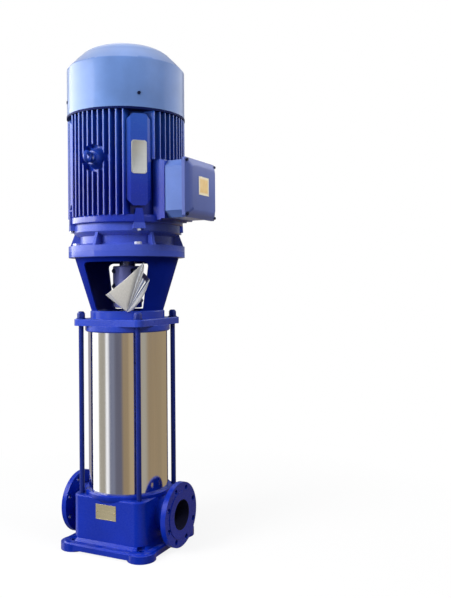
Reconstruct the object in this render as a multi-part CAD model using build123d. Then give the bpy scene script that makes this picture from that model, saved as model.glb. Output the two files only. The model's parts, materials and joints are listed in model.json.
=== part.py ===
from build123d import *
from math import cos, pi, radians, sin
import os

# Vertical in-line multistage pump with a flange-mounted electric motor.
# Millimetres. +Z is up along the shaft and Z = 0 is the floor under the feet.
# X runs along the two pipe ports, and -Y is the front, where the small bare plate is.
# An azimuth is counted from -Y towards +X, so +X is at 90 degrees.

# Driving dimensions: base
PORT_FACE = 210.0
PORT_Z = 117.0
PORT_BORE_R = 50.0
PORT_BORE_LENGTH = 60.0
FLANGE_R = 107.5
FLANGE_T = 20.0
FLANGE_PCD_R = 90.0
FLANGE_HOLES = 8
FLANGE_HOLE_R = 9.0
RAISED_FACE_R = 79.0
FOOT_X, FOOT_Y = 174.0, 172.0
FOOT_BOTTOM, FOOT_TOP = 6.0, 28.0
LOBE_R = 48.0
LOBE_X, LOBE_Y = 132.0, 130.0
FOOT_HOLE_R = 9.0
BOX_X, BOX_Y = 141.0, 139.0
BOX_CORNER_R = 34.0
BOX_TOP = 183.0
SEAT_R = 149.0
SEAT_TOP = 196.0

# Driving dimensions: barrel, tie rods and head
BARREL_R, BARREL_INNER_R = 136.5, 133.5
BARREL_BOTTOM, BARREL_TOP = 190.0, 739.0
GASKET_T = 2.0
ROD_R = 8.5
ROD_XY = 114.0
ROD_BOTTOM, ROD_TOP = 152.0, 794.0
HEAD_HALF, HEAD_CORNER_R = 137.0, 24.0
HEAD_BOTTOM, HEAD_TOP = 753.0, 776.0
HEAD_RING_R, HEAD_RING_BOTTOM = 146.0, 732.0
NUT_R, NUT_H = 13.5, 17.0

# Driving dimensions: hydraulic stages
STAGES = 6
STAGE_PITCH = 78.0
STACK_BOTTOM = 210.0
CASING_R, CASING_INNER_R = 112.0, 108.0
IMPELLER_R = 88.0
EYE_R, NECK_R = 41.0, 45.0
HUB_R = 24.0
VANES, GUIDE_VANES, RETURN_VANES = 6, 9, 7
VANE_T = 3.0
GAP = 0.3

# Driving dimensions: shafts and coupling
PUMP_SHAFT_R = 16.0
SEAL_SHAFT_R = 20.0
MOTOR_SHAFT_R = 27.5
BEARING_SEAT_R = 30.0
SHAFT_MEETING_Z = 890.0
COUPLING_R = 50.0
COUPLING_BOTTOM, COUPLING_TOP = 812.0, 956.0
SPLIT_GAP = 3.0

# Driving dimensions: lantern
LANTERN_RING_R, LANTERN_RING_TOP = 128.0, 803.0
LANTERN_LOW_R, LANTERN_HIGH_R = 124.0, 179.0
LANTERN_WALL = 12.0
LANTERN_FLANGE_BOTTOM, LANTERN_TOP = 984.0, 1003.0
MOTOR_FLANGE_R = 200.0
MOTOR_FLANGE_TOP = 1022.0
MOTOR_SPIGOT_R = 150.0
MOTOR_BOLT_R = 175.0
WINDOW_AZIMUTH = 16.5
WINDOW_BOTTOM, WINDOW_TOP = 804.0, 968.0
WINDOW_LOW_HALF, WINDOW_HIGH_HALF = 80.0, 112.0

# Driving dimensions: motor
SHIELD_RING_BOTTOM, FRAME_BOTTOM = 1062.0, 1093.0
SHIELD_RING_R, SHIELD_NECK_R = 183.0, 161.0
FRAME_TOP = 1458.0
FRAME_CORE_R, FRAME_INNER_R = 172.0, 160.0
FRAME_BAND_R, FRAME_BAND_TOP = 194.0, 1120.0
FIN_TIP_R = 201.0
FINS_PER_SIDE = 11
FIN_PITCH, FIN_ROOT_T, FIN_TIP_T = 20.0, 7.0, 4.5
PAD_DISTANCE, PAD_WIDTH = 197.0, 80.0
PAD_BOTTOM, PAD_TOP = 1148.0, 1446.0
PAD_CORNER, PAD_FLAT, PAD_BEVEL = 20.0, 28.0, 7.0
LUG_BOTTOM, LUG_TOP = 1074.0, 1140.0
STATOR_INNER_R, ROTOR_R = 104.5, 104.0
STATOR_BOTTOM, STATOR_TOP = 1180.0, 1380.0
COVER_R, COVER_SHELL = 202.0, 3.0
COVER_BOTTOM, COVER_SHOULDER = 1466.0, 1624.0
COVER_CROWN_R, COVER_CROWN_Z, COVER_PEAK_Z = 95.0, 1700.0, 1708.0
LIFT_Z = 1304.0

# Driving dimensions: terminal box on the +X side
TBOX_SEAT_X, TBOX_BODY_X, TBOX_RIM_X = 189.0, 207.0, 276.0
TBOX_HALF_Y, TBOX_BOTTOM, TBOX_TOP = 92.0, 1110.0, 1298.0
TBOX_CORNER = 22.0
TCOVER_HALF_Y, TCOVER_FLANGE_T, TCOVER_RISE = 106.0, 11.0, 16.0
TCOVER_BEVEL = 26.0

PARTS = {}


def upward(radius, bottom, top, x=0.0, y=0.0):
    """A vertical cylinder between two heights."""
    return Pos(x, y, (bottom + top) / 2) * Cylinder(radius, top - bottom)


def ring(outer, inner, bottom, top):
    """A vertical tube between two heights."""
    return upward(outer, bottom, top) - upward(inner, bottom - 1, top + 1)


def turned(*points):
    """A body of revolution about Z from its (radius, height) outline."""
    return revolve(Plane.XZ * make_face(Polyline(*points, close=True)), Axis.Z)


def along_x(radius, start, end, z, y=0.0):
    """A cylinder lying along X."""
    return Pos((start + end) / 2, y, z) * Rot(0, 90, 0) * Cylinder(radius, abs(end - start))


def block(x0, x1, y0, y1, z0, z1):
    """A box between two corners."""
    return Pos((x0 + x1) / 2, (y0 + y1) / 2, (z0 + z1) / 2) * Box(x1 - x0, y1 - y0, z1 - z0)


def at_azimuth(azimuth, shape):
    """Turns a shape drawn facing -Y to face the azimuth."""
    return Rot(0, 0, azimuth) * shape


def four_corners(x, y):
    """The four points (+-x, +-y)."""
    return [(sx * x, sy * y) for sx in (-1, 1) for sy in (-1, 1)]


def diagonal(radius, step):
    """One of the four points on a bolt circle, midway between the axes."""
    turn = radians(45 + 90 * step)
    return radius * sin(turn), radius * cos(turn)


def hexagon(across_corners_r, bottom, top, x=0.0, y=0.0):
    """A hexagonal head or nut."""
    return Pos(x, y, bottom) * extrude(RegularPolygon(across_corners_r, 6), top - bottom)


def rounded_slab(half_x, half_y, corner, bottom, top):
    """A slab with rounded vertical corners."""
    return Pos(0, 0, bottom) * extrude(RectangleRounded(2 * half_x, 2 * half_y, corner), top - bottom)


def base_casting():
    """Foot plate, volute box, two flanged ports, inlet column and discharge chamber."""
    chamber_r, column_r, chamber_floor, duct_r, passage_r, riser_r = 128.0, 66.0, 56.0, 59.0, 48.0, 45.0
    plate = rounded_slab(FOOT_X, FOOT_Y, LOBE_R - 4, FOOT_BOTTOM, FOOT_TOP)
    plate = chamfer(plate.faces().sort_by(Axis.Z)[-1].edges(), 5)
    body = plate
    for x, y in four_corners(LOBE_X, LOBE_Y):
        body += upward(LOBE_R, 0, FOOT_TOP - 4, x, y)
    skirt = extrude(RectangleRounded(2 * BOX_X + 18, 2 * BOX_Y + 18, BOX_CORNER_R + 9), 12, taper=42)
    body += Pos(0, 0, FOOT_TOP) * skirt
    box = rounded_slab(BOX_X, BOX_Y, BOX_CORNER_R, FOOT_TOP, BOX_TOP)
    body += fillet(box.faces().sort_by(Axis.Z)[-1].edges(), 6)
    body += turned((0, BOX_TOP - 20), (BOX_Y - 4, BOX_TOP - 20), (SEAT_R, BOX_TOP - 2),
                   (SEAT_R, SEAT_TOP - 4), (SEAT_R - 4, SEAT_TOP), (0, SEAT_TOP))
    for side in (-1, 1):
        body += along_x(duct_r + 3, side * 120, side * (PORT_FACE - FLANGE_T), PORT_Z)
        body += along_x(FLANGE_R, side * (PORT_FACE - FLANGE_T), side * (PORT_FACE - 2), PORT_Z)
        body += along_x(RAISED_FACE_R, side * (PORT_FACE - 2), side * PORT_FACE, PORT_Z)
    body -= Rot(0, 0, 90) * ring(chamber_r, column_r, chamber_floor, SEAT_TOP + 1)
    body += along_x(duct_r, -chamber_r - 10, -20, PORT_Z) + upward(column_r, SEAT_TOP - 4, 200)
    for side in (-1, 1):
        body -= along_x(PORT_BORE_R, side * (PORT_FACE + 1), side * (PORT_FACE - PORT_BORE_LENGTH), PORT_Z)
        for step in range(FLANGE_HOLES):
            turn = radians(360 / FLANGE_HOLES * (step + 0.5))
            body -= along_x(FLANGE_HOLE_R, side * (PORT_FACE - FLANGE_T - 1), side * (PORT_FACE + 1),
                            PORT_Z + FLANGE_PCD_R * sin(turn), FLANGE_PCD_R * cos(turn))
    body -= along_x(passage_r, -PORT_FACE + PORT_BORE_LENGTH - 1, 20, PORT_Z)
    body -= along_x(passage_r, chamber_r - 20, PORT_FACE - PORT_BORE_LENGTH + 1, PORT_Z)
    body -= upward(riser_r, PORT_Z - 8, 201)
    body -= ring(BARREL_R + GAP, BARREL_INNER_R - GAP, BARREL_BOTTOM - GASKET_T, SEAT_TOP + 1)
    body -= rounded_slab(BOX_X - 18, BOX_Y - 18, 20, -1, 36)
    for x, y in four_corners(LOBE_X + 3, LOBE_Y + 3):
        body -= upward(FOOT_HOLE_R, -1, FOOT_TOP + 12, x, y)
        body -= upward(16, FOOT_TOP - 1, FOOT_TOP + 12, x, y)
    for x, y in four_corners(ROD_XY, ROD_XY):
        body -= upward(ROD_R, ROD_BOTTOM, SEAT_TOP + 1, x, y)
    body -= Pos(0, 120, 70) * Rot(90, 0, 0) * Cylinder(9, 60)
    return body


def base_fittings():
    """The bare plate on the front of the base and the drain plug at the back."""
    plate_x, plate_z, plate_t = 80.0, 50.0, 1.5
    blank = extrude(RectangleRounded(plate_x, plate_z, 3), plate_t)
    PARTS["base_plate"] = Pos(0, -BOX_Y, 137) * Rot(90, 0, 0) * blank
    plug = Pos(0, BOX_Y - 8, 70) * Rot(90, 0, 0) * Cylinder(9, 16)
    collar = Pos(0, BOX_Y + 2, 70) * Rot(90, 0, 0) * Cylinder(15, 4)
    head = Pos(0, BOX_Y + 4, 70) * Rot(-90, 0, 0) * extrude(RegularPolygon(11, 6), 9)
    PARTS["drain_plug"] = plug + collar + head


def barrel_and_rods():
    """Barrel, gaskets, tie rods and their domed nuts on washers."""
    PARTS["barrel"] = ring(BARREL_R, BARREL_INNER_R, BARREL_BOTTOM, BARREL_TOP)
    low = ring(BARREL_R, BARREL_INNER_R, BARREL_BOTTOM - GASKET_T, BARREL_BOTTOM)
    high = ring(BARREL_R, BARREL_INNER_R, BARREL_TOP, BARREL_TOP + GASKET_T)
    PARTS["barrel_gaskets"] = [low, high]
    rods, nuts = [], []
    washer_t, dome_h = 3.0, 6.0
    nut_bottom = HEAD_TOP + washer_t
    for x, y in four_corners(ROD_XY, ROD_XY):
        rods.append(upward(ROD_R, ROD_BOTTOM, ROD_TOP, x, y))
        nuts.append(Pos(x, y, 0) * ring(16, ROD_R, HEAD_TOP, nut_bottom))
        nut_top = nut_bottom + NUT_H
        dome = turned((0, nut_top), (11.5, nut_top), (10.5, nut_top + 3), (7, nut_top + dome_h),
                      (0, nut_top + dome_h))
        nut = hexagon(NUT_R, nut_bottom, nut_top) + dome
        nuts.append(Pos(x, y, 0) * (nut - upward(ROD_R, nut_bottom - 1, ROD_TOP)))
    PARTS["tie_rods"] = rods
    PARTS["tie_rod_nuts"] = nuts


def head_casting():
    """Square clamping plate with the ring over the barrel, a spigot and the seal chamber."""
    body = rounded_slab(HEAD_HALF, HEAD_HALF, HEAD_CORNER_R, HEAD_BOTTOM, HEAD_TOP)
    body = chamfer(body.faces().sort_by(Axis.Z)[-1].edges(), 2)
    body += turned((112, 715), (BARREL_INNER_R - GAP, 715), (BARREL_INNER_R - GAP, HEAD_RING_BOTTOM),
                   (HEAD_RING_R - 4, HEAD_RING_BOTTOM), (HEAD_RING_R, HEAD_RING_BOTTOM + 4),
                   (HEAD_RING_R, HEAD_BOTTOM), (112, HEAD_BOTTOM))
    body += ring(66, 30, 690, HEAD_BOTTOM)
    body -= upward(48, 700, HEAD_TOP + 1)
    body -= ring(BARREL_R + GAP, BARREL_INNER_R - GAP, HEAD_RING_BOTTOM - 1, BARREL_TOP + GASKET_T)
    for x, y in four_corners(ROD_XY, ROD_XY):
        body -= upward(ROD_R + 1, HEAD_BOTTOM - 1, HEAD_TOP + 1, x, y)
    body += Pos(0, HEAD_RING_R, 743) * Rot(90, 0, 0) * Cylinder(9, 14)
    body -= Pos(0, HEAD_RING_R - 2, 743) * Rot(90, 0, 0) * Cylinder(5, 26)
    return body


def bleed_valve():
    """Brass bleed valve at the back of the head, with the screw that opens it."""
    start = HEAD_RING_R + 7
    thread = Pos(0, start - 7, 743) * Rot(90, 0, 0) * Cylinder(5, 14)
    hexed = Pos(0, start, 743) * Rot(-90, 0, 0) * extrude(RegularPolygon(10, 6), 12)
    nose = Pos(0, start + 16, 743) * Rot(90, 0, 0) * Cylinder(6.5, 8)
    bore = Pos(0, start + 8, 743) * Rot(90, 0, 0) * Cylinder(3.05, 24.2)
    PARTS["bleed_valve_body"] = thread + hexed + nose - bore
    stem = Pos(0, start + 9, 743) * Rot(90, 0, 0) * Cylinder(3, 24)
    grip = Pos(0, start + 25, 743) * Rot(90, 0, 0) * Cylinder(8, 8)
    bar = Pos(0, start + 25, 743) * Rot(0, 90, 0) * Cylinder(2, 34)
    PARTS["bleed_screw"] = stem + grip + bar


def lower_bearing():
    """Suction spider that carries the bush of the lower shaft end."""
    spider = ring(CASING_R, 50, 200, STACK_BOTTOM) + upward(26, 176, 206)
    for step in range(3):
        spider += Rot(0, 0, 120 * step + 60) * block(-4, 4, 0, 52, 200, 206)
    PARTS["suction_spider"] = spider - upward(21, 175, 207)
    PARTS["lower_bearing_bush"] = ring(21, PUMP_SHAFT_R + 0.05, 178, 204)


def vane_outline(inner_r, outer_r, sweep, thickness):
    """A blade in plan: it runs from the inner to the outer radius on an arc that sweeps back."""
    lead = Vector(inner_r, 0)
    tail = Vector(outer_r * cos(radians(sweep)), outer_r * sin(radians(sweep)))
    middle_r = 0.5 * (inner_r + outer_r)
    bend = radians(0.33 * sweep)
    middle = Vector(middle_r * cos(bend), middle_r * sin(bend))
    span = (tail - lead).normalized()
    side = Vector(-span.Y, span.X) * (thickness / 2)
    inside = ThreePointArc(lead - side, middle - side, tail - side)
    outside = ThreePointArc(tail + side, middle + side, lead + side)
    return make_face([inside, Line(inside @ 1, outside @ 0), outside, Line(outside @ 1, inside @ 0)])


def vane_ring(count, inner_r, outer_r, sweep, bottom, top):
    """Equal blades around the shaft."""
    blade = Pos(0, 0, bottom) * extrude(vane_outline(inner_r, outer_r, sweep, VANE_T), top - bottom)
    return [Rot(0, 0, 360 / count * step) * blade for step in range(count)]


def impeller():
    """Closed radial impeller with backward swept vanes, drawn with its stage floor at Z = 0."""
    front = turned((EYE_R, 1), (NECK_R, 1), (NECK_R, 12), (IMPELLER_R, 20), (IMPELLER_R, 23),
                   (NECK_R + 2, 15.4), (EYE_R, 13))
    back = turned((PUMP_SHAFT_R, 8), (HUB_R - 4, 8), (HUB_R, 12), (HUB_R + 8, 31), (IMPELLER_R, 31),
                  (IMPELLER_R, 34), (HUB_R, 34), (HUB_R, 46), (PUMP_SHAFT_R, 46))
    rim_r = IMPELLER_R - 0.5
    passage = turned((EYE_R - 6, 12), (NECK_R, 13.6), (rim_r, 21.5), (rim_r, 32), (EYE_R - 6, 32))
    wheel = front + back
    for blade in vane_ring(VANES, EYE_R - 4, IMPELLER_R - 1, -62, 10, 33):
        wheel += blade & passage
    return wheel


def diffuser():
    """Divider disc with guide vanes below and return vanes above, drawn with its stage floor at Z = 0."""
    disc = ring(99, 29, 36, 39)
    for blade in vane_ring(GUIDE_VANES, IMPELLER_R + 3, CASING_INNER_R - 2.5, 24, 22, 39):
        disc += blade
    for blade in vane_ring(RETURN_VANES, 52, CASING_INNER_R - 2.5, 38, 39, STAGE_PITCH):
        disc += blade
    return disc


def stages():
    """Six equal stages stacked on the suction spider."""
    casings, diffusers, rings, bushes, sleeves = [], [], [], [], []
    wheel, guide = impeller(), diffuser()
    casing = turned((50, 0), (CASING_R, 0), (CASING_R, STAGE_PITCH), (CASING_INNER_R, STAGE_PITCH),
                    (CASING_INNER_R, 5), (50, 5))
    for stage in range(STAGES):
        floor = STACK_BOTTOM + STAGE_PITCH * stage
        PARTS[f"impeller_{stage + 1}"] = Pos(0, 0, floor) * Rot(0, 0, 23 * stage) * wheel
        casings.append(Pos(0, 0, floor) * casing)
        diffusers.append(Pos(0, 0, floor) * guide)
        rings.append(ring(50, NECK_R + GAP, floor, floor + 9))
        bushes.append(ring(29, HUB_R + GAP, floor + 35, floor + 40))
        sleeve_top = floor + STAGE_PITCH + 8 if stage < STAGES - 1 else 690
        sleeves.append(ring(21, PUMP_SHAFT_R, floor + 46, sleeve_top))
    PARTS["stage_casings"] = casings
    PARTS["diffusers"] = diffusers
    PARTS["wear_rings"] = rings
    PARTS["interstage_bushes"] = bushes
    PARTS["spacer_sleeves"] = sleeves


def outlet_guide():
    """Open cage between the last stage and the head, through which the water leaves the stack."""
    floor = STACK_BOTTOM + STAGE_PITCH * STAGES
    cage = ring(CASING_R, 30, floor, floor + 5) + ring(118, 76, 707, 715)
    for step in range(8):
        cage += Rot(0, 0, 45 * step) * block(80, 110, -4, 4, floor + 5, 707)
    return cage


def pump_rotor():
    """Pump shaft, lock nut and the rotating half of the mechanical seal."""
    shaft = turned((0, 172), (PUMP_SHAFT_R - 1, 172), (PUMP_SHAFT_R, 173), (PUMP_SHAFT_R, 690),
                   (SEAL_SHAFT_R, 690), (SEAL_SHAFT_R, SHAFT_MEETING_Z - 2), (0, SHAFT_MEETING_Z - 2))
    PARTS["pump_shaft"] = shaft
    PARTS["impeller_lock_nut"] = hexagon(23, 208, 218) - upward(PUMP_SHAFT_R, 207, 219)
    head = ring(33, SEAL_SHAFT_R, 722, 734) + ring(33, SEAL_SHAFT_R, 744, 756)
    PARTS["seal_rotating_head"] = head + ring(29, SEAL_SHAFT_R, 734, 744)


def seal_fixed():
    """Throat bush, stationary seat, gland and gland screws."""
    PARTS["throat_bush"] = ring(30, SEAL_SHAFT_R + GAP, 690, 700)
    PARTS["seal_stationary_seat"] = ring(31, SEAL_SHAFT_R + 1, 756.2, 768)
    gland = turned((31, 758), (47.7, 758), (47.7, HEAD_TOP), (66, HEAD_TOP), (66, HEAD_TOP + 12),
                   (SEAL_SHAFT_R + 1.5, HEAD_TOP + 12), (SEAL_SHAFT_R + 1.5, 768), (31, 768))
    screws = []
    for x, y in four_corners(40.5, 40.5):
        gland -= upward(4, HEAD_TOP - 1, HEAD_TOP + 13, x, y)
        shank = upward(4, HEAD_TOP, HEAD_TOP + 12, x, y)
        screws.append(shank + upward(6.5, HEAD_TOP + 12, HEAD_TOP + 20, x, y))
    PARTS["seal_gland"] = gland
    PARTS["seal_gland_screws"] = screws


def lantern():
    """Conical motor stool with two opposed windows."""
    floor_z, bore_r = 790.0, 72.0
    body = turned((bore_r, HEAD_TOP), (LANTERN_RING_R, HEAD_TOP), (LANTERN_RING_R, LANTERN_RING_TOP - 3),
                  (LANTERN_RING_R - 3, LANTERN_RING_TOP), (LANTERN_LOW_R, LANTERN_RING_TOP),
                  (LANTERN_HIGH_R, LANTERN_FLANGE_BOTTOM), (MOTOR_FLANGE_R, LANTERN_FLANGE_BOTTOM),
                  (MOTOR_FLANGE_R, LANTERN_TOP), (MOTOR_SPIGOT_R + 0.2, LANTERN_TOP),
                  (MOTOR_SPIGOT_R + 0.2, LANTERN_TOP - 7), (140, LANTERN_TOP - 7),
                  (140, LANTERN_FLANGE_BOTTOM - 2),
                  (LANTERN_HIGH_R - LANTERN_WALL, LANTERN_FLANGE_BOTTOM - 2),
                  (LANTERN_LOW_R - LANTERN_WALL, LANTERN_RING_TOP), (LANTERN_LOW_R - LANTERN_WALL, floor_z),
                  (bore_r, floor_z))
    window = Plane.XZ * make_face(Polyline(
        (-WINDOW_LOW_HALF, WINDOW_BOTTOM), (WINDOW_LOW_HALF, WINDOW_BOTTOM),
        (WINDOW_HIGH_HALF, WINDOW_TOP), (-WINDOW_HIGH_HALF, WINDOW_TOP), close=True))
    cutter = extrude(window, 230, both=True)
    cutter = fillet(cutter.edges().filter_by(Axis.Y), 14)
    body -= at_azimuth(WINDOW_AZIMUTH, cutter)
    screws = []
    for step in range(4):
        x, y = diagonal(98, step)
        body -= upward(6, HEAD_TOP - 1, floor_z + 1, x, y)
        shank = upward(6, HEAD_TOP, floor_z, x, y)
        screws.append(shank + hexagon(10.5, floor_z, floor_z + 8, x, y))
        x, y = diagonal(MOTOR_BOLT_R, step)
        body -= upward(8, LANTERN_FLANGE_BOTTOM + 4, LANTERN_TOP + 1, x, y)
    PARTS["lantern"] = body
    PARTS["lantern_screws"] = screws


def coupling():
    """Rigid clamp coupling: two half shells drawn together by three bolts on each side."""
    shell = turned((SEAL_SHAFT_R, COUPLING_BOTTOM), (COUPLING_R - 3, COUPLING_BOTTOM),
                   (COUPLING_R, COUPLING_BOTTOM + 3), (COUPLING_R, COUPLING_TOP - 3),
                   (COUPLING_R - 3, COUPLING_TOP), (MOTOR_SHAFT_R, COUPLING_TOP),
                   (MOTOR_SHAFT_R, SHAFT_MEETING_Z), (SEAL_SHAFT_R, SHAFT_MEETING_Z))
    bolts = []
    bolt_x, head_y = 38.0, 22.0
    for z in (COUPLING_BOTTOM + 24, COUPLING_BOTTOM + 74, COUPLING_TOP - 17):
        for side in (-1, 1):
            shell -= Pos(side * bolt_x, 0, z) * Rot(90, 0, 0) * Cylinder(5, 120)
            for face in (-1, 1):
                shell -= Pos(side * bolt_x, face * (head_y + 20), z) * Rot(90, 0, 0) * Cylinder(11, 40)
            shank = Pos(side * bolt_x, 0, z) * Rot(90, 0, 0) * Cylinder(5, 2 * head_y)
            head = Pos(side * bolt_x, -head_y, z) * Rot(90, 0, 0) * extrude(RegularPolygon(9, 6), 8)
            nut = Pos(side * bolt_x, head_y, z) * Rot(-90, 0, 0) * extrude(RegularPolygon(9, 6), 9)
            bolts.append(shank + head + nut)
    front = shell - block(-80, 80, -SPLIT_GAP / 2, 80, 800, 980)
    rear = shell - block(-80, 80, -80, SPLIT_GAP / 2, 800, 980)
    turn = Rot(0, 0, 12)
    PARTS["coupling_half_front"] = turn * front
    PARTS["coupling_half_rear"] = turn * rear
    PARTS["coupling_bolts"] = [turn * bolt for bolt in bolts]


def drive_end_shield():
    """Mounting flange, neck with gussets, joint ring with four ears and the bearing housing."""
    body = turned((38, 1016), (140, 1016), (142, LANTERN_TOP - 6), (MOTOR_SPIGOT_R, LANTERN_TOP - 6),
                  (MOTOR_SPIGOT_R, LANTERN_TOP), (MOTOR_FLANGE_R, LANTERN_TOP),
                  (MOTOR_FLANGE_R, MOTOR_FLANGE_TOP),
                  (SHIELD_NECK_R + 8, MOTOR_FLANGE_TOP), (SHIELD_NECK_R, MOTOR_FLANGE_TOP + 8),
                  (SHIELD_NECK_R, SHIELD_RING_BOTTOM - 8), (SHIELD_RING_R - 6, SHIELD_RING_BOTTOM),
                  (SHIELD_RING_R, SHIELD_RING_BOTTOM + 6), (SHIELD_RING_R, FRAME_BOTTOM),
                  (FRAME_INNER_R, FRAME_BOTTOM), (FRAME_INNER_R, FRAME_BOTTOM + 5), (151, FRAME_BOTTOM + 5),
                  (151, 1036), (84, 1034), (82, 1072), (65, 1072), (65, 1036), (38, 1036))
    rib = Plane.XZ * make_face(Polyline(
        (SHIELD_NECK_R - 4, MOTOR_FLANGE_TOP), (MOTOR_FLANGE_R - 4, MOTOR_FLANGE_TOP),
        (SHIELD_RING_R - 3, SHIELD_RING_BOTTOM + 3), (SHIELD_NECK_R - 4, SHIELD_RING_BOTTOM + 3),
        close=True))
    for step in range(6):
        body += Rot(0, 0, -90 + 60 * step) * extrude(rib, 5, both=True)
    for step in range(4):
        body += at_azimuth(45 + 90 * step, lug(LUG_BOTTOM, FRAME_BOTTOM, SHIELD_RING_R - 12))
        x, y = diagonal(MOTOR_BOLT_R, step)
        body -= upward(8, LANTERN_TOP - 1, MOTOR_FLANGE_TOP + 1, x, y)
        body -= upward(13.5, MOTOR_FLANGE_TOP, MOTOR_FLANGE_TOP + 12, x, y)
    return body


def lug(bottom, top, inner_r):
    """A joint ear facing -Y that narrows upwards, with its outer face at the pad distance."""
    def half(z):
        return 21 - 11 * (z - LUG_BOTTOM) / (LUG_TOP - LUG_BOTTOM)
    face = Plane.XZ * make_face(Polyline((-half(bottom), bottom), (half(bottom), bottom), (half(top), top),
                                         (-half(top), top), close=True))
    return Pos(0, -inner_r, 0) * extrude(face, PAD_DISTANCE - inner_r)


def fin_group():
    """Eleven upright parallel fins facing -Y, with tips on a common cylinder."""
    fins = []
    first = -(FINS_PER_SIDE - 1) / 2
    for step in range(FINS_PER_SIDE):
        x = FIN_PITCH * (first + step)
        root_y = -(FRAME_CORE_R ** 2 - (abs(x) + FIN_ROOT_T / 2) ** 2) ** 0.5 + 3
        tip_y = -(FIN_TIP_R ** 2 - x ** 2) ** 0.5
        section = make_face(Polyline((x - FIN_ROOT_T / 2, root_y), (x - FIN_TIP_T / 2, tip_y),
                                     (x + FIN_TIP_T / 2, tip_y), (x + FIN_ROOT_T / 2, root_y), close=True))
        fins.append(Pos(0, 0, FRAME_BAND_TOP - 2) * extrude(section, FRAME_TOP - FRAME_BAND_TOP + 2))
    return fins


def motor_frame():
    """Cast frame with four groups of parallel fins, four flat pads, joint lugs and the terminal box seat."""
    frame = turned((FRAME_INNER_R + 0.2, FRAME_BOTTOM), (FRAME_BAND_R - 4, FRAME_BOTTOM),
                   (FRAME_BAND_R, FRAME_BOTTOM + 4), (FRAME_BAND_R, FRAME_BAND_TOP - 6),
                   (FRAME_BAND_R - 4, FRAME_BAND_TOP), (FRAME_CORE_R, FRAME_BAND_TOP + 2),
                   (FRAME_CORE_R, FRAME_TOP), (FRAME_INNER_R + 0.2, FRAME_TOP))
    side, cut = PAD_WIDTH / 2, PAD_WIDTH / 2 - PAD_CORNER
    low, high = PAD_BOTTOM + PAD_CORNER, PAD_TOP - PAD_CORNER
    pad = Plane.XZ * make_face(Polyline(
        (-side, low), (-cut, PAD_BOTTOM), (cut, PAD_BOTTOM), (side, low),
        (side, high), (cut, PAD_TOP), (-cut, PAD_TOP), (-side, high), close=True))
    root, bevel_y = -FRAME_CORE_R + 8, -PAD_DISTANCE + PAD_BEVEL
    bevelled = make_face(Polyline((-side, root), (-side, bevel_y), (-PAD_FLAT, -PAD_DISTANCE),
                                  (PAD_FLAT, -PAD_DISTANCE), (side, bevel_y), (side, root), close=True))
    solid_pad = Pos(0, root, 0) * extrude(pad, PAD_DISTANCE + root)
    solid_pad &= Pos(0, 0, PAD_BOTTOM) * extrude(bevelled, PAD_TOP - PAD_BOTTOM)
    fins = fin_group()
    seat = block(160, TBOX_SEAT_X, -TBOX_HALF_Y + 4, TBOX_HALF_Y - 4, TBOX_BOTTOM - 6, TBOX_TOP + 4)
    seat += block(TBOX_SEAT_X, TBOX_BODY_X, -TBOX_HALF_Y - 3, TBOX_HALF_Y + 3, TBOX_BOTTOM - 2, TBOX_TOP)
    side_cut = block(120, 260, -120, 120, TBOX_BOTTOM - 30, TBOX_TOP + 3)
    boss_root = 44.0
    boss_clear = Pos(0, -FRAME_CORE_R - 20, LIFT_Z) * Rot(90, 0, 0) * Cylinder(boss_root, 60)
    boss = Plane.XZ.offset(FRAME_CORE_R - 6) * extrude(Circle(boss_root - 6), 40, taper=22)
    boss = Pos(0, 0, LIFT_Z) * boss
    for step in range(4):
        group = fins
        if step == 0:
            group = [fin - boss_clear if abs(fin.center().X) < 2.4 * FIN_PITCH else fin for fin in fins]
        for fin in group:
            placed = Rot(0, 0, 90 * step) * fin
            frame += placed - side_cut if step == 1 else placed
        frame += at_azimuth(45 + 90 * step, solid_pad)
        frame += at_azimuth(45 + 90 * step, lug(FRAME_BOTTOM, LUG_TOP, FRAME_BAND_R - 12))
    frame += boss + seat
    frame -= upward(FRAME_INNER_R + 0.2, FRAME_BOTTOM - 1, FRAME_TOP + 1)
    frame -= block(150, TBOX_BODY_X + 1, -50, 50, TBOX_BOTTOM + 50, TBOX_TOP - 50)
    frame -= Pos(0, -208, LIFT_Z) * Rot(90, 0, 0) * Cylinder(8, 50)
    return frame


def motor_fasteners():
    """Flange bolts, shield screws and the lifting eyebolt."""
    bolts, screws = [], []
    for step in range(4):
        x, y = diagonal(MOTOR_BOLT_R, step)
        shank = upward(8, LANTERN_FLANGE_BOTTOM + 6, MOTOR_FLANGE_TOP, x, y)
        bolts.append(shank + hexagon(12.5, MOTOR_FLANGE_TOP, MOTOR_FLANGE_TOP + 10, x, y))
        x, y = diagonal(SHIELD_RING_R + 7.3, step)
        screws.append(hexagon(6.5, LUG_BOTTOM - 7, LUG_BOTTOM, x, y))
    PARTS["motor_flange_bolts"] = bolts
    PARTS["shield_screws"] = screws
    eye_y = -226.5
    collar = Pos(0, -209, LIFT_Z) * Rot(90, 0, 0) * Cylinder(17, 6)
    shank = Pos(0, -197, LIFT_Z) * Rot(90, 0, 0) * Cylinder(8, 24)
    eye = Pos(0, eye_y, LIFT_Z) * Rot(0, 90, 0) * Torus(13.5, 6.5)
    PARTS["lifting_eyebolt"] = shank + collar + eye


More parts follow.
